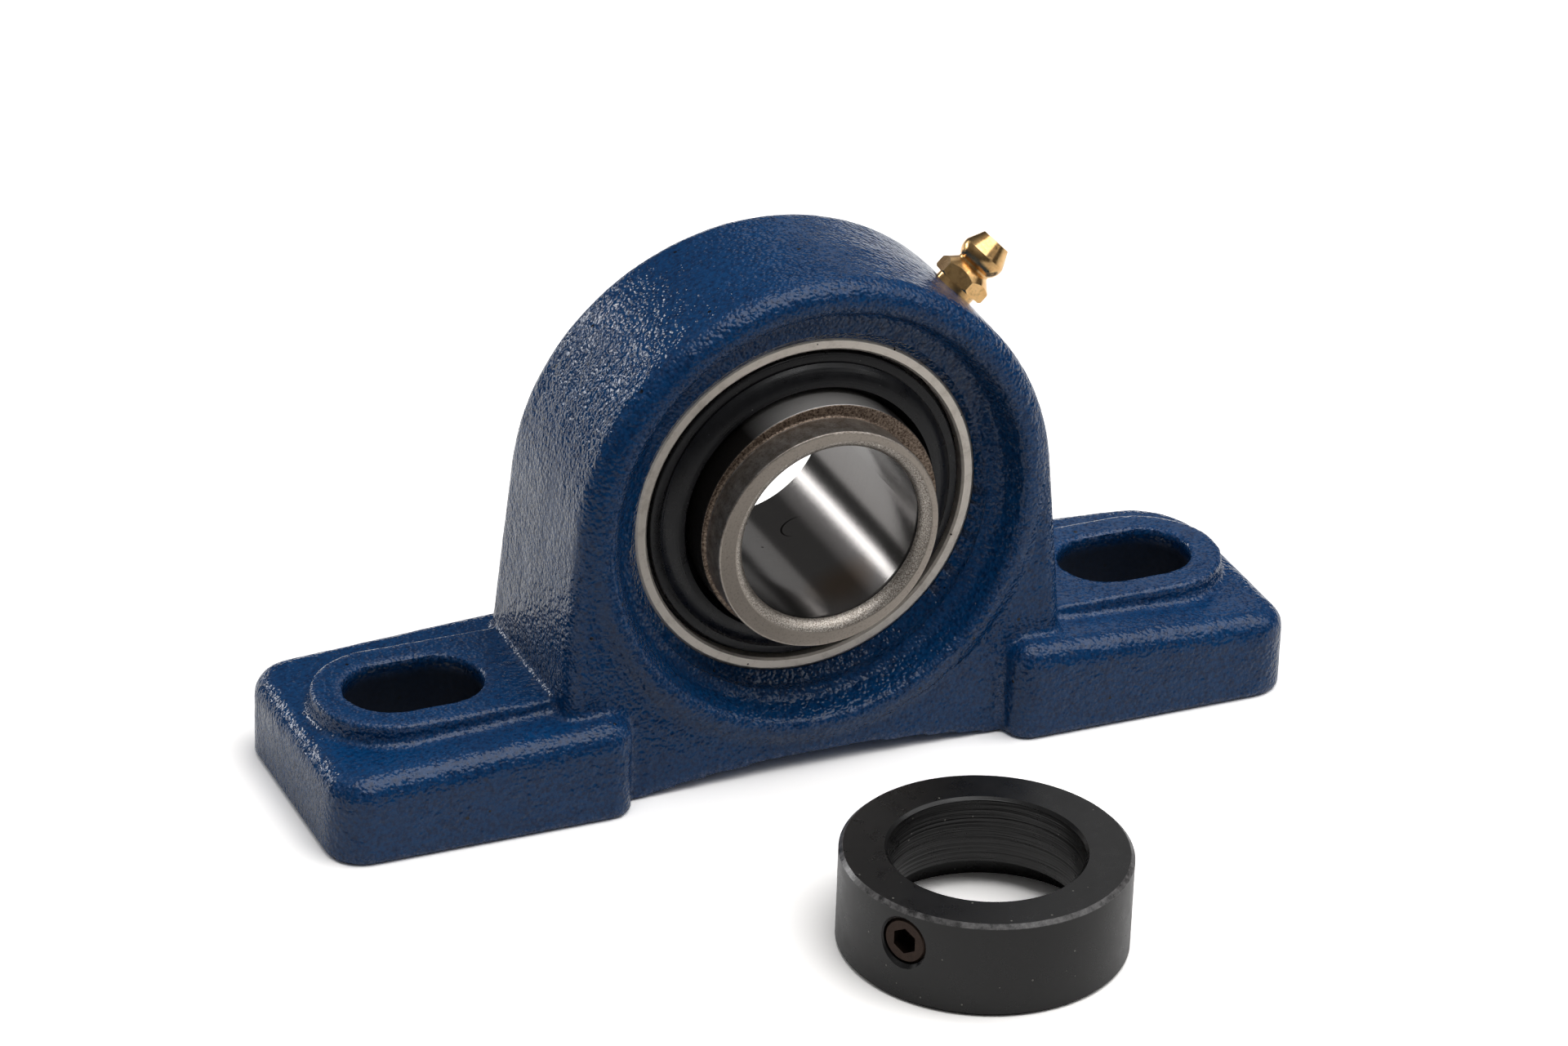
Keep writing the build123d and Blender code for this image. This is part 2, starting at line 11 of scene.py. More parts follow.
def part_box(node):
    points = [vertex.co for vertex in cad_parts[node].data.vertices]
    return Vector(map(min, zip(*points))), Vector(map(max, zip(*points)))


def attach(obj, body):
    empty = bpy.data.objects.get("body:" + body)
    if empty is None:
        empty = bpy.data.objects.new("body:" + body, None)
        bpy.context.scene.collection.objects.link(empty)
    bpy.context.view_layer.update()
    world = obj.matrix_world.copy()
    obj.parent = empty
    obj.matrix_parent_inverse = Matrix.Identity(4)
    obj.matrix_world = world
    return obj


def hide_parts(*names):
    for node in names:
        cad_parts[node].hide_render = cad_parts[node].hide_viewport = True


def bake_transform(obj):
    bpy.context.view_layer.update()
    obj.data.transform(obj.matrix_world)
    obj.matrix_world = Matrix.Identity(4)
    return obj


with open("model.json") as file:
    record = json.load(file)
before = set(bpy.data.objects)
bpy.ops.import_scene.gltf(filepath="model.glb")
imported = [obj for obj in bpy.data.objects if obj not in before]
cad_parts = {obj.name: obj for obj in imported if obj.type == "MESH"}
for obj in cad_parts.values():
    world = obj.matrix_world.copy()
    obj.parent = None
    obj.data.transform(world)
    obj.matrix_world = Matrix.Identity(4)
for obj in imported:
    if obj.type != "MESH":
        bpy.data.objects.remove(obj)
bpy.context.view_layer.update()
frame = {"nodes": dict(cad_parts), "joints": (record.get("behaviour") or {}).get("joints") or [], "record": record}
scene = bpy.context.scene
MM = 0.001


def mount(name):
    """One of the record's mounts."""
    return next(entry for entry in frame["record"]["mounts"] if entry["name"] == name)


def joint(name):
    """One of the record's joints."""
    return next(entry for entry in frame["joints"] if entry["name"] == name)


# ---------------------------------------------------------------- sizes taken from the frame
shaft_centre = Vector(joint("inner_spin")["pos_m"])
shaft_axis = Vector((0, 1, 0))
collar_centre = Vector(mount("collar_bore")["pos_m"])
fitting_axis = Vector(mount("grease_nipple")["axis"])
screw_axis = -Vector(joint("set_screw_travel")["axis"])
bore_radius = mount("shaft_bore")["dims"]["r_mm"] * MM
nose_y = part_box("inner_ring")[0].y
outer_ring_face_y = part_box("outer_ring")[0].y
seat_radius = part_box("outer_ring")[1].x
collar_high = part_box("locking_collar")[1]
collar_bore_radius = mount("collar_bore")["dims"]["r_mm"] * MM
screw_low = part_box("collar_set_screw")[0]
sharp_angle = radians(40)  # between faces, above which an edge is shaded as sharp


def round_the_shaft(name):
    """Places of a node's vertices from the shaft's centre, and their radii about the shaft."""
    places = np.array([vertex.co[:] for vertex in frame["nodes"][name].data.vertices])
    places = places - np.array(shaft_centre)
    return places, np.hypot(places[:, 0], places[:, 2])


def shoulder_of(name):
    """Largest radius about the shaft of a node's vertices, and where along the shaft it starts."""
    places, radii = round_the_shaft(name)
    return radii.max(), places[radii > radii.max() - 0.05 * MM, 1].min()


shoulder_radius, shoulder_start = shoulder_of("inner_ring")


def srgb(red, green, blue):
    """Linear colour from display values of 0 to 255."""
    shares = (value / 255 for value in (red, green, blue))
    linear = [s / 12.92 if s <= 0.04045 else ((s + 0.055) / 1.055) ** 2.4 for s in shares]
    return (*linear, 1.0)


# ---------------------------------------------------------------- shader helpers
def add(tree, kind, inputs=None, **settings):
    """New shader node. Inputs map a socket's name or number to a value or to another node's output."""
    node = tree.nodes.new("ShaderNode" + kind)
    for name, value in settings.items():
        setattr(node, name, value)
    for name, value in (inputs or {}).items():
        if isinstance(value, bpy.types.NodeSocket):
            tree.links.new(value, node.inputs[name])
        else:
            node.inputs[name].default_value = value
    return node


def math(tree, operation, *values):
    """Result of a Math node."""
    return add(tree, "Math", dict(enumerate(values)), operation=operation).outputs[0]


def steps(tree, value, *stops):
    """Smooth grey ramp: each stop is a place and a level from 0 to 1."""
    ramp = add(tree, "ValToRGB", {"Fac": value})
    points = ramp.color_ramp.elements
    for point, (place, level) in zip(points, stops):
        point.position, point.color = place, (level, level, level, 1)
    for place, level in stops[2:]:
        points.new(place).color = (level, level, level, 1)
    return ramp.outputs["Color"]


def band(tree, value, low, high, soft):
    """1 where the value lies between low and high, fading to 0 over the soft distance outside."""
    rise = add(tree, "MapRange", {"Value": value, "From Min": low - soft, "From Max": low})
    fall = add(tree, "MapRange", {"Value": value, "From Min": high + soft, "From Max": high})
    return math(tree, "MULTIPLY", rise.outputs["Result"], fall.outputs["Result"])


def blend_colours(tree, share, first, second):
    """Mix of two colours, given as values or outputs."""
    node = add(tree, "Mix", data_type="RGBA")
    for socket, value in ((node.inputs[0], share), (node.inputs[6], first), (node.inputs[7], second)):
        if isinstance(value, bpy.types.NodeSocket):
            tree.links.new(value, socket)
        else:
            socket.default_value = value
    return node.outputs[2]


def grain(tree, vector, size, detail=2.0, roughness=0.5, w=None):
    """Noise from 0 to 1 with features of about this size in metres. With w it is four-dimensional."""
    inputs = {"Vector": vector, "Scale": 1 / size, "Detail": detail, "Roughness": roughness}
    if w is None:
        return add(tree, "TexNoise", inputs).outputs["Fac"]
    inputs["W"] = w
    return add(tree, "TexNoise", inputs, noise_dimensions="4D").outputs["Fac"]


def object_place(tree):
    """Place in the row frame at rest."""
    return add(tree, "TexCoord").outputs["Object"]


def about_axis(tree, centre, axis):
    """Radius, height and unit direction about an axis, as outputs, and the place in that axis's frame."""
    turn = axis.to_track_quat("Z", "Y").to_euler()
    local = add(tree, "Mapping",
                {"Vector": object_place(tree), "Location": centre, "Rotation": turn},
                vector_type="TEXTURE").outputs["Vector"]
    flat = add(tree, "VectorMath", {0: local, 1: (1, 1, 0)}, operation="MULTIPLY").outputs[0]
    radius = add(tree, "VectorMath", {0: flat}, operation="LENGTH").outputs["Value"]
    direction = add(tree, "VectorMath", {0: flat}, operation="NORMALIZE").outputs[0]
    height = add(tree, "SeparateXYZ", {"Vector": local}).outputs["Z"]
    return radius, height, direction, local


def turned_marks(tree, radius, height, direction, pitch, reach=0.004):
    """Fine marks that run round an axis: they change over the pitch and last over the reach."""
    along = math(tree, "MULTIPLY", math(tree, "ADD", radius, height), 1 / pitch)
    around = add(tree, "VectorMath", {0: direction, "Scale": 0.015 / reach}, operation="SCALE").outputs[0]
    return add(tree, "TexNoise",
               {"Vector": around, "W": along, "Scale": 1.0, "Detail": 2.5, "Roughness": 0.6},
               noise_dimensions="4D").outputs["Fac"]


def spot(tree, centre, inner, outer):
    """1 within the inner distance of a place in the row frame, fading to 0 at the outer one."""
    away = add(tree, "VectorMath", {0: object_place(tree), 1: centre}, operation="DISTANCE").outputs["Value"]
    return add(tree, "MapRange", {"Value": away, "From Min": outer, "From Max": inner}).outputs["Result"]


def specks(tree, vector, spacing, size):
    """1 in small round spots scattered about this far apart, 0 between them."""
    cells = add(tree, "TexVoronoi", {"Vector": vector, "Scale": 1 / spacing, "Randomness": 1.0})
    return math(tree, "LESS_THAN", cells.outputs["Distance"], size / spacing)


def bump(tree, height, distance, strength=1.0, normal=None):
    """Normal disturbed by a height from 0 to 1 over a distance in metres."""
    inputs = {"Height": height, "Distance": distance, "Strength": strength}
    if normal is not None:
        inputs["Normal"] = normal
    return add(tree, "Bump", inputs).outputs["Normal"]


def new_material(name):
    """Empty node material with its Principled shader joined to the output."""
    material = bpy.data.materials.new(name)
    material.use_nodes = True
    tree = material.node_tree
    tree.nodes.clear()
    shader = add(tree, "BsdfPrincipled")
    output = add(tree, "OutputMaterial")
    tree.links.new(shader.outputs[0], output.inputs["Surface"])
    return material, tree, shader


def feed(tree, shader, **inputs):
    """Set or link the Principled shader's sockets, with underscores in place of spaces."""
    for name, value in inputs.items():
        socket = shader.inputs[name.replace("_", " ")]
        if isinstance(value, bpy.types.NodeSocket):
            tree.links.new(value, socket)
        else:
            socket.default_value = value


# ---------------------------------------------------------------- materials
def enamel():
    """Navy enamel sprayed over a sand casting: pebbled, with pits and glossy patches, lightened along edges and
    roots by wear and painted glints, and with painted shade deep in the slots.
    """
    material, tree, shader = new_material("navy_enamel")
    place = object_place(tree)
    edge_wear_and_glints = add(tree, "Attribute", attribute_name="edge").outputs["Fac"]
    calm = add(tree, "Attribute", attribute_name="calm").outputs["Fac"]
    painted_slot_shade = add(tree, "Attribute", attribute_name="painted_slot_shade").outputs["Fac"]
    clouds = grain(tree, place, 9 * MM, 3)
    tone = blend_colours(tree, clouds, srgb(5, 54, 100), srgb(12, 74, 128))
    mottle = steps(tree, grain(tree, place, 0.6 * MM, 3, 0.6), (0.42, 0.0), (0.7, 0.75))
    tone = blend_colours(tree, mottle, tone, srgb(4, 26, 62))
    dust = steps(tree, grain(tree, place, 0.45 * MM, 2, 0.5), (0.62, 0), (0.8, 0.3))
    tone = blend_colours(tree, dust, tone, srgb(62, 92, 136))
    pits = specks(tree, place, 5.5 * MM, 0.28 * MM)
    tone = blend_colours(tree, pits, tone, srgb(3, 10, 26))
    # painted shade: the enamel turns near black deep inside the bolt slots
    tone = blend_colours(tree, painted_slot_shade, tone, srgb(3, 10, 24))
    # edge wear and painted glints: broken light flecks along convex edges and concave roots
    flakes = steps(tree, grain(tree, place, 0.4 * MM, 3, 0.6), (0.46, 0), (0.68, 0.6))
    worn_and_glinting = math(tree, "MULTIPLY", edge_wear_and_glints, flakes)
    tone = blend_colours(tree, worn_and_glinting, tone, srgb(124, 138, 170))
    rugged = math(tree, "SUBTRACT", 1.0, math(tree, "MULTIPLY", calm, 0.3))
    rugged = math(tree, "MULTIPLY", rugged, math(tree, "SUBTRACT", 1.0, painted_slot_shade))
    patches = steps(tree, grain(tree, place, 7 * MM, 2), (0.3, 0.55), (0.5, 1.0))
    rugged = math(tree, "MULTIPLY", rugged, patches)
    shift = add(tree, "TexNoise", {"Vector": place, "Scale": 1 / (0.9 * MM), "Detail": 1.0}).outputs["Color"]
    pushed = add(tree, "VectorMath", {0: shift, "Scale": 0.5 * MM}, operation="SCALE").outputs[0]
    pushed = add(tree, "VectorMath", {0: place, 1: pushed}, operation="ADD").outputs[0]
    cells = {"Vector": pushed, "Scale": 1 / (0.55 * MM), "Smoothness": 0.35}
    hills = add(tree, "TexVoronoi", cells, feature="SMOOTH_F1").outputs["Distance"]
    pebbles = math(tree, "SUBTRACT", 1.0, hills)
    coarse = grain(tree, place, 1.5 * MM, 1.5, 0.5)
    streaks = add(tree, "Mapping", {"Vector": place, "Scale": (0.12, 1.0, 1.0)}).outputs["Vector"]
    brushed = math(tree, "MULTIPLY", grain(tree, streaks, 0.4 * MM, 2), calm)
    normal = bump(tree, math(tree, "MULTIPLY", coarse, rugged), 0.25 * MM)
    normal = bump(tree, math(tree, "MULTIPLY", pebbles, rugged), 0.14 * MM, 1.0, normal)
    normal = bump(tree, brushed, 0.02 * MM, 1.0, normal)
    gloss = steps(tree, grain(tree, place, 3 * MM, 3), (0.3, 0.1), (0.7, 0.2))
    feed(tree, shader, Base_Color=tone, Normal=normal, IOR=1.5, Specular_IOR_Level=0.36,
         Roughness=math(tree, "MAXIMUM", gloss, math(tree, "MULTIPLY", painted_slot_shade, 0.8)))
    return material


def ground_steel():
    """Outer ring: matt ground steel with fine scratches round its face and faint stains."""
    material, tree, shader = new_material("ground_ring_steel")
    radius, height, direction, local = about_axis(tree, shaft_centre, shaft_axis)
    marks = turned_marks(tree, radius, height, direction, 0.09 * MM)
    stains = grain(tree, local, 1.6 * MM, 4, 0.65)
    tone = blend_colours(tree, marks, srgb(236, 226, 213), srgb(252, 245, 236))
    tone = blend_colours(tree, steps(tree, stains, (0.5, 0), (0.75, 0.45)), tone, srgb(172, 159, 144))
    dirt = specks(tree, local, 2.3 * MM, 0.16 * MM)
    tone = blend_colours(tree, dirt, tone, srgb(70, 60, 52))
    feed(tree, shader, Base_Color=tone, Metallic=0.7,
         Roughness=steps(tree, marks, (0.3, 0.36), (0.7, 0.48)),
         Normal=bump(tree, marks, 0.012 * MM))
    return material


def inner_ring_steel():
    """Inner ring: ground bore, lapped nose, bore mouth with painted glints, brown annular face, and a land painted
    light on top and dark below.
    """
    mouth_width, mouth_depth = 1.6 * MM, 2.2 * MM
    stain_place = Vector((0.0047, -0.0103, 0.0247))
    hook_place, hook_core = Vector((0.0052, 0.0065, 0.0248)), Vector((0.00536, 0.00635, 0.02484))
    material, tree, shader = new_material("inner_ring_steel")
    radius, height, direction, local = about_axis(tree, shaft_centre, shaft_axis)
    marks = turned_marks(tree, radius, height, direction, 0.07 * MM, 0.006)
    in_bore = math(tree, "LESS_THAN", radius, bore_radius + 0.06 * MM)
    nose_reach = nose_y - shaft_centre.y
    on_nose = math(tree, "LESS_THAN", height, nose_reach + 0.05 * MM)
    near_bore = math(tree, "LESS_THAN", radius, bore_radius + mouth_width)
    near_nose = math(tree, "LESS_THAN", height, nose_reach + mouth_depth)
    in_mouth = math(tree, "MULTIPLY", near_bore, near_nose)
    on_land = math(tree, "GREATER_THAN", radius, shoulder_radius - 0.08 * MM)
    behind = math(tree, "GREATER_THAN", height, shoulder_start - 0.4 * MM)
    outside = math(tree, "GREATER_THAN", radius, bore_radius + mouth_width)
    on_face = math(tree, "MULTIPLY", behind, outside)
    crust = grain(tree, local, 0.3 * MM, 3, 0.7)
    grain_and_glints = grain(tree, local, 0.16 * MM, 2, 0.6)
    patina = steps(tree, grain(tree, local, 1.6 * MM, 4, 0.7), (0.3, 0), (0.7, 1))
    cam = blend_colours(tree, patina, srgb(178, 171, 164), srgb(120, 110, 101))
    cam = blend_colours(tree, steps(tree, crust, (0.5, 0), (0.7, 0.6)), cam, srgb(70, 60, 52))
    rust = steps(tree, crust, (0.35, 0), (0.65, 1))
    brown = blend_colours(tree, rust, srgb(62, 48, 39), srgb(164, 146, 130))
    nose = blend_colours(tree, marks, srgb(168, 158, 148), srgb(200, 190, 179))
    nose = blend_colours(tree, steps(tree, crust, (0.52, 0), (0.72, 0.5)), nose, srgb(116, 104, 92))
    land = blend_colours(tree, marks, srgb(196, 193, 190), srgb(222, 219, 216))
    # painted light and shade: the land is lighter at its top and darker lower down, as light falls from above
    level = add(tree, "SeparateXYZ", {"Vector": object_place(tree)}).outputs["Z"]
    painted_top_light = add(tree, "MapRange", {"Value": level, "From Min": shaft_centre.z + 0.8 * shoulder_radius,
                                  "From Max": shaft_centre.z + 1.02 * shoulder_radius}).outputs["Result"]
    land = blend_colours(tree, painted_top_light, srgb(44, 41, 39), land)
    # painted glints: bright specks scattered over the bore mouth; the same grain also bumps the face and specks
    # the bore
    painted_mouth_glints = steps(tree, grain_and_glints, (0.4, 0), (0.68, 1))
    mouth = blend_colours(tree, painted_mouth_glints, srgb(146, 135, 124), srgb(244, 237, 228))
    bore = blend_colours(tree, marks, srgb(106, 104, 103), srgb(126, 123, 121))
    bore = blend_colours(tree, steps(tree, grain_and_glints, (0.5, 0), (0.75, 0.3)), bore, srgb(78, 74, 72))
    stain = spot(tree, stain_place, 1.5 * MM, 5.5 * MM)
    bore = blend_colours(tree, math(tree, "MULTIPLY", stain, 0.6), bore, srgb(108, 86, 62))
    disc = spot(tree, hook_place, 2.0 * MM, 2.06 * MM)
    core = spot(tree, hook_core, 1.95 * MM, 2.0 * MM)
    hook = math(tree, "MULTIPLY", disc, math(tree, "SUBTRACT", 1.0, core))
    bore = blend_colours(tree, hook, bore, srgb(24, 20, 18))
    blemish = specks(tree, local, 5 * MM, 0.22 * MM)
    bore = blend_colours(tree, blemish, bore, srgb(40, 35, 32))
    tone = blend_colours(tree, on_face, cam, brown)
    tone = blend_colours(tree, on_land, tone, land)
    tone = blend_colours(tree, in_mouth, tone, mouth)
    tone = blend_colours(tree, in_bore, tone, bore)
    tone = blend_colours(tree, on_nose, tone, nose)
    rough = blend_colours(tree, in_mouth, (0.4, 0.4, 0.4, 1), (0.34, 0.34, 0.34, 1))
    rough = blend_colours(tree, on_land, rough, (0.55, 0.55, 0.55, 1))
    rough = blend_colours(tree, in_bore, rough, (0.14, 0.14, 0.14, 1))
    rough = math(tree, "ADD", rough, math(tree, "MULTIPLY", marks, 0.06))
    uneven = math(tree, "MAXIMUM", on_face, in_mouth)
    uneven = math(tree, "MULTIPLY", uneven, math(tree, "SUBTRACT", 1.0, in_bore))
    normal = bump(tree, math(tree, "MULTIPLY", grain_and_glints, uneven), 0.06 * MM)
    feed(tree, shader, Base_Color=tone, Metallic=math(tree, "MAXIMUM", in_bore, 0.85), Roughness=rough,
         Normal=bump(tree, marks, 0.005 * MM, 1.0, normal))
    return material


def plain_steel(name, dark, light, roughness, size):
    """Steel of balls, cage and spring with a faint drift of tone."""
    material, tree, shader = new_material(name)
    place = object_place(tree)
    drift = grain(tree, place, size, 3)
    feed(tree, shader, Base_Color=blend_colours(tree, drift, dark, light), Metallic=1.0,
         Roughness=steps(tree, drift, (0.3, roughness), (0.7, roughness + 0.08)),
         Normal=bump(tree, grain(tree, place, size / 4, 2), 0.01 * MM))
    return material


def seal_rubber():
    """Black seal: satin, with moulding rings and a film of grease dust."""
    material, tree, shader = new_material("seal_rubber")
    radius, height, direction, local = about_axis(tree, shaft_centre, shaft_axis)
    rings = turned_marks(tree, radius, height, direction, 0.3 * MM, 0.02)
    film = grain(tree, local, 2.5 * MM, 4, 0.6)
    tone = blend_colours(tree, film, srgb(11, 11, 13), srgb(30, 30, 34))
    dust = specks(tree, local, 2.2 * MM, 0.1 * MM)
    tone = blend_colours(tree, dust, tone, srgb(90, 90, 90))
    feed(tree, shader, Base_Color=tone, Roughness=steps(tree, film, (0.3, 0.22), (0.7, 0.38)), IOR=1.5,
         Specular_IOR_Level=0.4, Normal=bump(tree, rings, 0.03 * MM))
    return material


def brass():
    """Turned brass of the grease fitting."""
    material, tree, shader = new_material("turned_brass")
    radius, height, direction, local = about_axis(tree, shaft_centre, fitting_axis)
    marks = turned_marks(tree, radius, height, direction, 0.08 * MM, 0.004)
    drift = grain(tree, local, 2 * MM, 3)
    tone = blend_colours(tree, drift, srgb(230, 174, 106), srgb(254, 216, 156))
    tarnish = steps(tree, grain(tree, local, 0.8 * MM, 4, 0.7), (0.5, 0), (0.75, 0.6))
    tone = blend_colours(tree, tarnish, tone, srgb(140, 96, 48))
    feed(tree, shader, Base_Color=tone, Metallic=1.0,
         Roughness=steps(tree, marks, (0.3, 0.14), (0.7, 0.26)),
         Normal=bump(tree, marks, 0.012 * MM))
    return material


def black_oxide():
    """Collar: blackened turned steel with a broken painted highlight along its top chamfer, and grooves left in
    the bore.
    """
    material, tree, shader = new_material("black_oxide")
    centre = Vector((collar_centre.x, collar_centre.y, 0))
    radius, height, direction, local = about_axis(tree, centre, Vector((0, 0, 1)))
    marks = turned_marks(tree, radius, height, direction, 0.4 * MM, 0.03)
    fine = turned_marks(tree, radius, height, direction, 0.06 * MM, 0.004)
    film = grain(tree, local, 3 * MM, 4, 0.6)
    tone = blend_colours(tree, film, srgb(16, 16, 17), srgb(28, 27, 27))
    outer = collar_high.x - collar_centre.x
    chamfer = 0.5 * MM
    corner = outer + collar_high.z
    across = math(tree, "ADD", radius, height)
    # painted highlight: a broken light line along the top outer chamfer
    rim = band(tree, across, corner - chamfer, corner - 0.2 * chamfer, 0.25 * chamfer)
    breaks = steps(tree, grain(tree, local, 1.2 * MM, 4, 0.7), (0.36, 0.1), (0.64, 1.0))
    chamfer_painted_highlight = math(tree, "MULTIPLY", rim, breaks)
    tone = blend_colours(tree, chamfer_painted_highlight, tone, srgb(118, 116, 116))
    light_specks = specks(tree, local, 2.3 * MM, 0.13 * MM)
    tone = blend_colours(tree, light_specks, tone, srgb(126, 124, 118))
    in_bore = math(tree, "LESS_THAN", radius, collar_bore_radius + 0.1 * MM)
    normal = bump(tree, math(tree, "MULTIPLY", marks, in_bore), 0.15 * MM)
    normal = bump(tree, fine, 0.01 * MM, 0.7, normal)
    feed(tree, shader, Base_Color=tone, IOR=1.55, Normal=normal,
         Roughness=steps(tree, film, (0.3, 0.24), (0.7, 0.36)))
    return material


def browned_steel():
    """Set screw: dark steel with a brown heat tint."""
    material, tree, shader = new_material("browned_screw_steel")
    centre = Vector((collar_centre.x, collar_centre.y, screw_low.z))
    local = about_axis(tree, centre, screw_axis)[-1]
    film = grain(tree, local, 0.9 * MM, 4, 0.65)
    tone = blend_colours(tree, film, srgb(40, 30, 26), srgb(78, 64, 56))
    feed(tree, shader, Base_Color=tone, Metallic=0.8,
         Roughness=steps(tree, film, (0.3, 0.3), (0.7, 0.45)),
         Normal=bump(tree, film, 0.02 * MM))
    return material


# ---------------------------------------------------------------- cast skin of the housing
def apply_modifiers(obj):
    """Replace an object's mesh by the one that its modifiers make."""
    graph = bpy.context.evaluated_depsgraph_get()
    mesh = bpy.data.meshes.new_from_object(obj.evaluated_get(graph))
    obj.modifiers.clear()
    obj.data = mesh
    obj.data.name = obj.name


def vertex_array(mesh, kind):
    """The places ("co") or normals ("normal") of a mesh's vertices, one row each."""
    values = np.empty(len(mesh.vertices) * 3)
    mesh.vertices.foreach_get(kind, values)
    return values.reshape(-1, 3)


def store(mesh, name, values):
    """Keep one value for each vertex, which a material reads by this name."""
    layer = mesh.attributes.new(name, "FLOAT", "POINT")
    layer.data.foreach_set("value", values.astype(np.float32))


def smooth_between_edges(mesh):
    """Shade a mesh smooth, apart from its sharp edges."""
    mesh.shade_smooth()
    mesh.set_sharp_from_angle(angle=sharp_angle)


def cast_skin():
    """The housing's shape remeshed as one skin and softened, as sand castings are; shape_skin adds the lumps."""
    source = frame["nodes"]["housing"]
    skin = bpy.data.objects.new("housing_cast_skin", source.data.copy())
    scene.collection.objects.link(skin)
    cells = skin.modifiers.new("cells", "REMESH")
    cells.mode = "VOXEL"
    cells.voxel_size = 0.5 * MM
    soften = skin.modifiers.new("soften", "SMOOTH")
    soften.factor = 0.5
    soften.iterations = 3
    apply_modifiers(skin)
    return skin


def shape_skin(skin):
    """Lumps on the cast faces, within the solid's own box, and none on the sole or in the seat."""
    coarse, fine, fine_share = 3.2 * MM, 1.5 * MM, 0.6
    lump_depth_mm = 0.035
    sole_height, drawn_in = 1.2 * MM, 0.4 * MM
    mesh = skin.data
    places, normals = vertex_array(mesh, "co"), vertex_array(mesh, "normal")
    from_centre = places - np.array(shaft_centre)
    reach = np.linalg.norm(from_centre, axis=1)
    seat_half_width = abs(outer_ring_face_y) + 2.0 * MM
    in_seat = (reach < seat_radius + 0.5 * MM) & (abs(places[:, 1]) < seat_half_width)
    lumps = np.array([
        noise.noise(Vector(p) / coarse) + fine_share * noise.noise(Vector(p) / fine) for p in places])
    underside = places[:, 2] < sole_height
    depth = np.where(in_seat | underside, 0.0, (lumps - 1.0) * lump_depth_mm * MM)
    moved = places + normals * depth[:, None]
    low, high = (np.array(corner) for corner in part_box("housing"))
    moved = np.clip(moved, low, high)
    near_seat = in_seat & (abs(reach - seat_radius) < 0.25 * MM)
    seat = np.array(shaft_centre) + from_centre / reach[:, None] * (seat_radius - drawn_in)
    moved = np.where(near_seat[:, None], seat, moved)
    mesh.vertices.foreach_set("co", moved.ravel())
    mesh.update()


def mark_skin(skin):
    """Store on each vertex how sharp an edge it is on, how calm the casting is, and a painted shade that grows
    with depth inside a slot.
    """
    flat, sharp = 100, 520  # curvature, per metre, where an edge begins to show and where it is full
    foot_start, foot_fade = 30 * MM, 6 * MM
    wall, dark_from, dark_over, darkest = 0.4 * MM, 0.8 * MM, 2 * MM, 0.9
    mesh = skin.data
    places, normals = vertex_array(mesh, "co"), vertex_array(mesh, "normal")
    ends = np.empty(len(mesh.edges) * 2, int)
    mesh.edges.foreach_get("vertices", ends)
    first, second = ends.reshape(-1, 2).T
    run = places[second] - places[first]
    length = np.linalg.norm(run, axis=1)
    bend = np.einsum("ij,ij->i", normals[second] - normals[first], run) / np.maximum(length, 1e-9) ** 2
    total, count = np.zeros(len(places)), np.zeros(len(places))
    for end in (first, second):
        np.add.at(total, end, bend)
        np.add.at(count, end, 1)
    curve = total / np.maximum(count, 1)
    for _ in range(3):
        spread = np.zeros(len(places))
        np.add.at(spread, first, curve[second])
        np.add.at(spread, second, curve[first])
        curve = spread / np.maximum(count, 1)
    # this edge value lightens the enamel with wear and painted glints along edges and roots
    store(mesh, "edge", np.clip((abs(curve) - flat) / (sharp - flat), 0, 1))
    upward = np.clip(normals[:, 2], 0, 1)
    on_foot = np.clip((abs(places[:, 0]) - foot_start) / foot_fade, 0, 1)
    store(mesh, "calm", np.clip(upward * on_foot, 0, 1))
    slots = mount("bolt_slots")["dims"]
    slot_radius = slots["hole_r_mm"] * MM
    straight = slots["slot_length_mm"] / 2 * MM - slot_radius
    from_slot = abs(places[:, 0]) - slots["spacing_x_mm"] / 2 * MM
    past_straight = np.maximum(abs(from_slot) - straight, 0)
    from_spine = np.hypot(past_straight, places[:, 1])
    depth = places[np.abs(from_spine - slot_radius) < wall, 2].max() - places[:, 2]
    inside = (from_spine < slot_radius + wall) & (depth > 0)
    # painted shade: darker the deeper a place lies inside a bolt slot
    store(mesh, "painted_slot_shade", np.where(inside, np.clip((depth - dark_from) / dark_over, 0, darkest), 0))


def turned_mesh(name, profile, count, closed):
    """Mesh turned about the shaft from (radius, place along the shaft) points.

    A closed profile gives a ring. An open one starts and ends on the axis and gives a full body.
    """
    mesh = bmesh.new()
    rings = []
    for radius, along in profile:
        angles = [2 * pi * step / count for step in range(count if radius else 1)]
        rings.append([mesh.verts.new(shaft_centre + Vector((radius * cos(a), along, radius * sin(a))))
                      for a in angles])
    for near, far in zip(rings, rings[1:] + (rings[:1] if closed else [])):
        for step in range(count):
            corners = [near[step % len(near)], near[(step + 1) % len(near)],
                       far[(step + 1) % len(far)], far[step % len(far)]]
            mesh.faces.new(list(dict.fromkeys(corners)))
    bmesh.ops.recalc_face_normals(mesh, faces=mesh.faces)
    data = bpy.data.meshes.new(name)
    mesh.to_mesh(data)
    mesh.free()
    return data


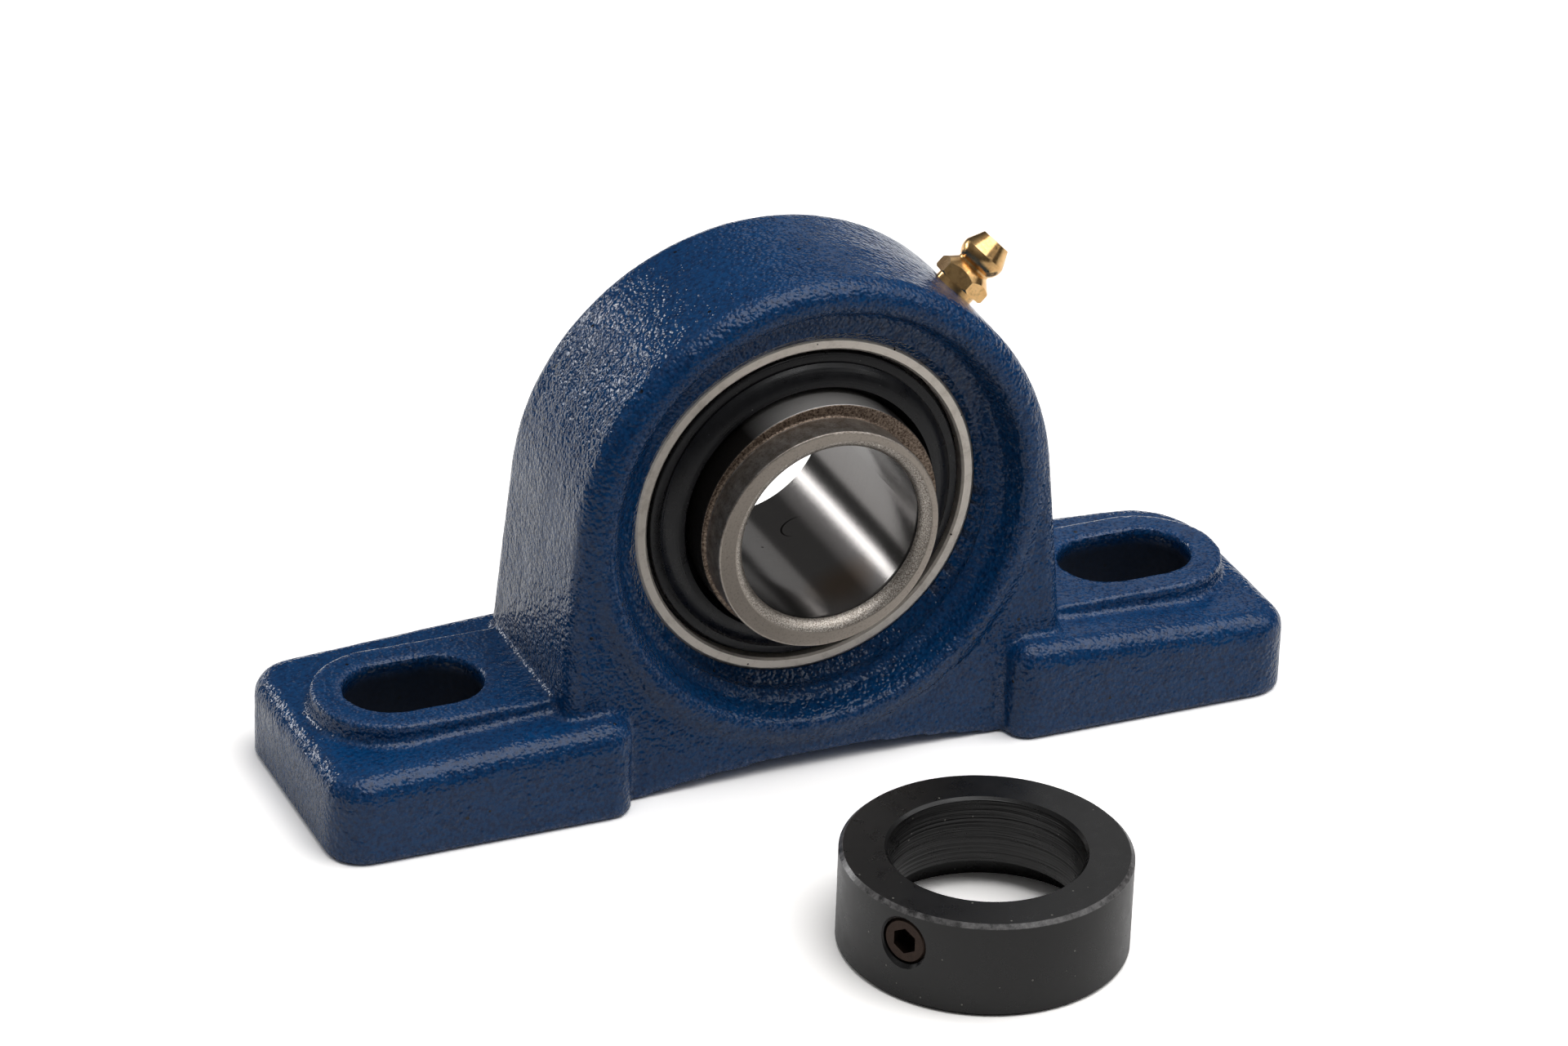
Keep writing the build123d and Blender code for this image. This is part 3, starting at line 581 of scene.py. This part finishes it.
def seat_cutter():
    """Turned body as large as the seat, which widens past the outer ring's faces so that they show."""
    clearance, mouth, past_face = 0.04 * MM, 1.4 * MM, 6 * MM
    face = abs(outer_ring_face_y)
    clear_radius = seat_radius + clearance
    last = np.arcsin(face / clear_radius)
    turns = np.linspace(0, last, 25)
    profile = [(clear_radius * cos(turn), clear_radius * sin(turn)) for turn in turns]
    profile.append((profile[-1][0] + mouth, face + mouth))
    profile.append((profile[-1][0], face + past_face))
    profile.append((0, face + past_face))
    profile = [(radius, -along) for radius, along in profile[:0:-1]] + profile
    return bpy.data.objects.new("seat_cutter", turned_mesh("seat_cutter", profile, 288, False))


def open_seat(skin):
    """Cut the seat and its mouths cleanly through the skin, and keep their edges sharp in shading."""
    cutter = seat_cutter()
    scene.collection.objects.link(cutter)
    cut = skin.modifiers.new("seat", "BOOLEAN")
    cut.operation = "DIFFERENCE"
    cut.solver = "EXACT"
    cut.object = cutter
    apply_modifiers(skin)
    bpy.data.objects.remove(cutter)
    smooth_between_edges(skin.data)


def make_housing_skin(material):
    """The cast skin that stands for the housing."""
    skin = cast_skin()
    shape_skin(skin)
    mark_skin(skin)
    open_seat(skin)
    skin.data.materials.clear()
    skin.data.materials.append(material)
    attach(skin, "housing")
    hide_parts("housing")


# ---------------------------------------------------------------- seal plates
def make_seal_plate(node, material):
    """Pressed seal plate in its seat: an open groove round its rim and moulding lines on its face."""
    low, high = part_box(node)
    side = 1 if low.y + high.y > 0 else -1
    face = max(abs(low.y), abs(high.y))
    step = min(abs(low.y), abs(high.y))
    edge, sheet, groove = high.x - 0.05 * MM, 0.6 * MM, 0.5 * MM
    rim_height, corner, bevel = 0.3 * MM, 0.25 * MM, 0.08 * MM
    line_half, line_depth = 0.09 * MM, 0.12 * MM
    line_places = (2.0 * MM, 2.7 * MM)  # inwards from the edge
    inner = round_the_shaft(node)[1].min()
    profile = [(edge, step), (edge, step + rim_height), (edge - groove, step + groove),
               (edge - groove, face - corner), (edge - groove - bevel, face - bevel),
               (edge - groove - corner, face)]
    for line in (edge - place for place in line_places):
        profile += [(line + line_half, face), (line, face - line_depth), (line - line_half, face)]
    profile += [(inner, face), (inner, face - sheet), (edge - groove - sheet, face - sheet),
                (edge - groove - sheet, step)]
    name = node + "_plate"
    profile = [(radius, side * along) for radius, along in profile]
    plate = bpy.data.objects.new(name, turned_mesh(name, profile, 256, True))
    smooth_between_edges(plate.data)
    scene.collection.objects.link(plate)
    plate.data.materials.append(material)
    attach(plate, "outer_ring")
    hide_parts(node)


# ---------------------------------------------------------------- check spring
def make_check_spring(material):
    """Copy of the check ball's spring at rest, in place of the CAD part; the copy does not shorten as the ball is
    pressed in.
    """
    coil = frame["nodes"]["grease_check_spring"].data.copy()
    spring = bpy.data.objects.new("check_spring_coil", coil)
    scene.collection.objects.link(spring)
    spring.data.materials.clear()
    spring.data.materials.append(material)
    reach = (vertex_array(spring.data, "co") - np.array(shaft_centre)) @ np.array(fitting_axis)
    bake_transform(spring)
    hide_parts("grease_check_spring")


# ---------------------------------------------------------------- floor, world and lamps
def make_floor():
    """Wide white table top that keeps the object's soft shadow, with painted light behind and painted shade in
    front for reflections and bounced light, and plain white far away.
    """
    half = 3.0
    table_back, table_front = 0.1, -0.15  # between these, reflections and bounced light see it darken
    white_from, white_at = 0.25, 0.6  # metres from the object
    mesh = bpy.data.meshes.new("floor")
    corners = [(-half, -half, 0), (half, -half, 0), (half, half, 0), (-half, half, 0)]
    mesh.from_pydata(corners, [], [(0, 1, 2, 3)])
    floor = bpy.data.objects.new("floor", mesh)
    scene.collection.objects.link(floor)
    material = bpy.data.materials.new("white_table")
    material.use_nodes = True
    tree = material.node_tree
    tree.nodes.clear()
    path = add(tree, "LightPath")
    place = object_place(tree)
    depth = add(tree, "SeparateXYZ", {"Vector": place}).outputs["Y"]
    # painted light and shade: reflections and bounced light see the table brighter behind the object and darker in
    # front
    nearness = add(tree, "MapRange", {"Value": depth, "From Min": table_back, "From Max": table_front})
    nearness = nearness.outputs["Result"]
    plain = blend_colours(tree, nearness, (0.8, 0.8, 0.8, 1), (0.42, 0.42, 0.41, 1))
    mirrored = blend_colours(tree, nearness, (1.45, 1.44, 1.43, 1), (0.64, 0.63, 0.62, 1))
    tone = blend_colours(tree, path.outputs["Is Glossy Ray"], plain, mirrored)
    seen = math(tree, "MAXIMUM", path.outputs["Is Camera Ray"], path.outputs["Is Transmission Ray"])
    tone = blend_colours(tree, seen, tone, (1.85, 1.82, 1.79, 1))
    diffuse = add(tree, "BsdfDiffuse", {"Color": tone})
    away = add(tree, "VectorMath", {0: place}, operation="LENGTH").outputs["Value"]
    away = add(tree, "MapRange", {"Value": away, "From Min": white_from, "From Max": white_at})
    backdrop = add(tree, "Emission", {"Color": (1, 1, 1, 1), "Strength": 1.0})
    surface = add(tree, "MixShader", {0: math(tree, "MULTIPLY", away.outputs["Result"], seen)})
    tree.links.new(diffuse.outputs[0], surface.inputs[1])
    tree.links.new(backdrop.outputs[0], surface.inputs[2])
    output = add(tree, "OutputMaterial")
    tree.links.new(surface.outputs[0], output.inputs["Surface"])
    mesh.materials.append(material)


def make_world():
    """White where the camera looks past the floor, a dim studio for the light that falls on the object."""
    world = bpy.data.worlds.new("studio")
    scene.world = world
    world.use_nodes = True
    tree = world.node_tree
    tree.nodes.clear()
    path = add(tree, "LightPath")
    seen = math(tree, "MAXIMUM", path.outputs["Is Camera Ray"], path.outputs["Is Transmission Ray"])
    upward = add(tree, "SeparateXYZ", {"Vector": add(tree, "TexCoord").outputs["Generated"]}).outputs["Z"]
    room = steps(tree, upward, (0.0, 0.05), (0.35, 0.07), (0.65, 0.14), (1.0, 0.4))
    colour = blend_colours(tree, seen, room, (1, 1, 1, 1))
    background = add(tree, "Background", {"Color": colour, "Strength": 1.0})
    output = add(tree, "OutputWorld")
    tree.links.new(background.outputs[0], output.inputs["Surface"])


def towards(azimuth, elevation, distance, target=shaft_centre):
    """Place seen from the target at an azimuth (0 is in front, positive to the right) and an elevation."""
    a, e = radians(azimuth), radians(elevation)
    return target + distance * Vector((sin(a) * cos(e), -cos(a) * cos(e), sin(e)))


def softbox(name, azimuth, elevation, distance, width, height, radiance):
    """Rectangular lamp that faces the shaft centre, as bright as a white surface times its radiance."""
    lamp = bpy.data.lights.new(name, "AREA")
    lamp.shape = "RECTANGLE"
    lamp.size, lamp.size_y = width, height
    lamp.energy = radiance * pi * width * height
    body = bpy.data.objects.new(name, lamp)
    body.location = towards(azimuth, elevation, distance)
    body.rotation_euler = (shaft_centre - body.location).to_track_quat("-Z", "Y").to_euler()
    scene.collection.objects.link(body)


# name, azimuth and elevation in degrees, then distance, width and height in metres, and radiance
LAMPS = (
    ("back_left_box", -150, 17.5, 0.9, 0.42, 0.1, 9.0),
    ("high_left_box", -157, 28, 0.9, 0.25, 0.13, 0.4),
    ("back_right_box", 149, 25, 0.6, 0.22, 0.26, 0.4),
    ("top_box", 50, 75, 1.2, 1.2, 1.2, 2.2),
    ("front_fill_box", 65, 34, 1.3, 0.8, 0.6, 1.2),
)


# ---------------------------------------------------------------- camera
def make_camera():
    """The photograph's camera, as solved: place in metres, angles in degrees, lens and sensor in mm."""
    place = Vector((-0.3095, -0.6889, 0.4306))
    azimuth, elevation, roll = -24.238, 27.96, 2.008
    lens, sensor_width = 145.74, 36.0
    back = towards(azimuth, elevation, 1.0, Vector())
    forward = -back
    right = forward.cross(Vector((0, 0, 1))).normalized()
    up = right.cross(forward)
    turn = radians(roll)
    axis_x = right * cos(turn) + up * sin(turn)
    axis_y = up * cos(turn) - right * sin(turn)
    camera_data = bpy.data.cameras.new("camera")
    camera_data.lens = lens
    camera_data.sensor_width = sensor_width
    camera_data.sensor_fit = "HORIZONTAL"
    camera_data.clip_start = 0.01
    camera = bpy.data.objects.new("camera", camera_data)
    rotation = Matrix((axis_x, axis_y, back)).transposed()
    camera.matrix_world = Matrix.Translation(place) @ rotation.to_4x4()
    scene.collection.objects.link(camera)
    scene.camera = camera


# ---------------------------------------------------------------- the whole
def dress(material, *nodes):
    """Give these CAD nodes the material."""
    for name in nodes:
        slots = frame["nodes"][name].data.materials
        slots.clear()
        slots.append(material)


make_housing_skin(enamel())
seals = [name for name in frame["nodes"] if "seal" in name]
cages = [name for name in frame["nodes"] if "cage" in name]
balls = [name for name in frame["nodes"] if "ball_" in name] + ["grease_check_ball"]
dress(ground_steel(), "outer_ring")
dress(inner_ring_steel(), "inner_ring")
rubber = seal_rubber()
dress(rubber, *seals)
for plate_node in ("front_seal_shield", "back_seal_shield"):
    make_seal_plate(plate_node, rubber)
dress(plain_steel("cage_steel", srgb(140, 138, 134), srgb(176, 174, 170), 0.3, 2 * MM), *cages)
dress(plain_steel("ball_steel", srgb(196, 196, 198), srgb(216, 216, 216), 0.06, 3 * MM), *balls)
make_check_spring(plain_steel("spring_steel", srgb(136, 134, 130), srgb(170, 168, 164), 0.25, 1 * MM))
dress(brass(), "grease_fitting")
dress(black_oxide(), "locking_collar")
dress(browned_steel(), "collar_set_screw")
make_floor()
make_world()
for lamp_values in LAMPS:
    softbox(*lamp_values)
make_camera()
scene.view_settings.view_transform = "Standard"
